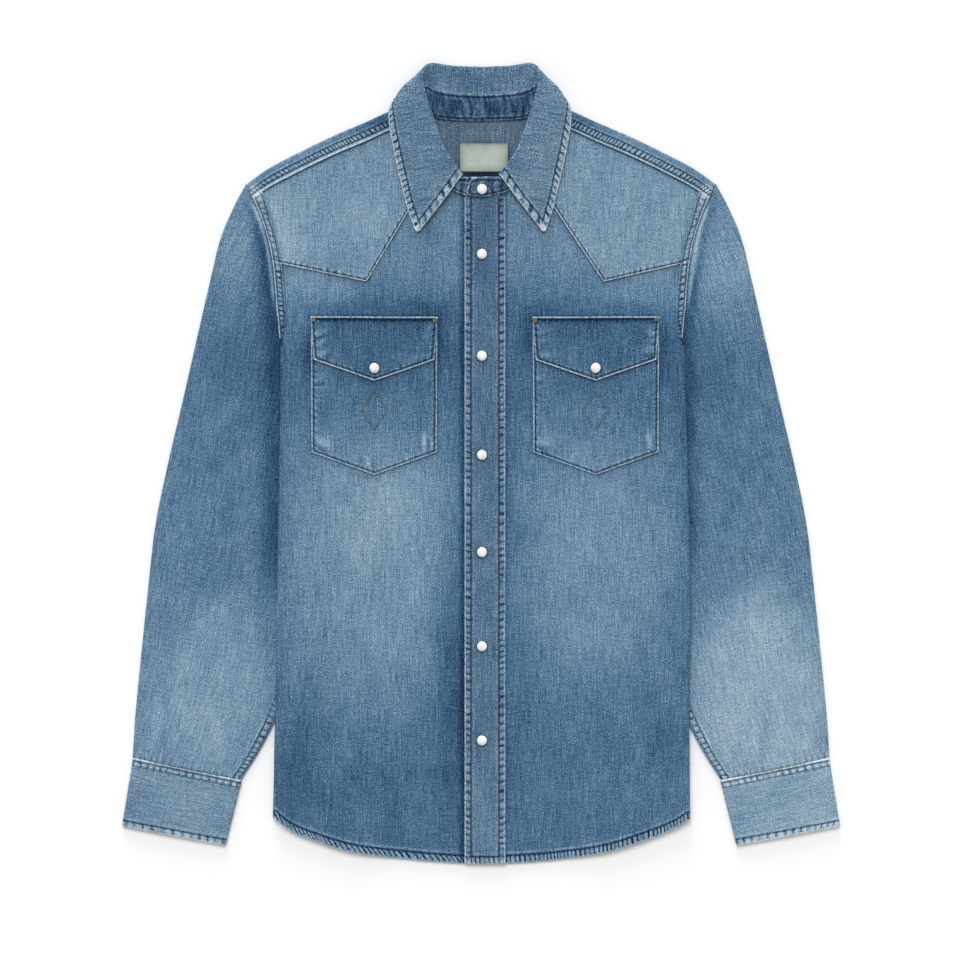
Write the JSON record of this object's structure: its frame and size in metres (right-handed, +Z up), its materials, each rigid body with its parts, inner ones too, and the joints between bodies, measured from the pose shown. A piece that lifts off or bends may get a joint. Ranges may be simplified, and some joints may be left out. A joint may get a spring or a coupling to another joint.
{
  "type": "denim western shirt laid flat",
  "caption": "Long-sleeved denim western shirt laid flat on its back, with pointed yokes, flap pockets, a snap placket and an open collar; the sides are turned under.",
  "frame": {"origin": "middle of the shirt's outline, on the surface that it lies on", "axes": "+Y from the hem to the collar, +X towards the wearer's left, +Z up from the surface"},
  "size_m": [0.7208, 0.7997, 0.016],
  "materials": {
    "denim": "stonewashed mid-blue denim",
    "washed_denim": "stonewashed pale blue denim",
    "dark_denim": "darker blue denim, less washed",
    "label": "plain pale woven tape, bare",
    "pearl": "white pearl in a thin metal rim"
  },
  "bodies": {
    "root": {"back": "denim", "back_yoke": "washed_denim", "front_right": "denim", "front_left": "denim", "front_yoke_right": "washed_denim", "front_yoke_left": "washed_denim", "shoulder_band_right": "washed_denim", "shoulder_band_left": "washed_denim", "armhole_band_right": "washed_denim", "armhole_band_left": "washed_denim", "placket": "denim", "collar_stand": "dark_denim", "collar_leaf": "washed_denim", "sleeve_right": "denim", "sleeve_left": "denim", "cuff_right": "washed_denim", "cuff_left": "washed_denim", "pocket_right": "denim", "pocket_left": "denim", "pocket_flap_right": "dark_denim", "pocket_flap_left": "dark_denim", "neck_label": "label", "snap_stand": "pearl", "snap_placket_1": "pearl", "snap_placket_2": "pearl", "snap_placket_3": "pearl", "snap_placket_4": "pearl", "snap_placket_5": "pearl", "snap_placket_6": "pearl", "snap_flap_right": "pearl", "snap_flap_left": "pearl"}
  },
  "joints": []
}
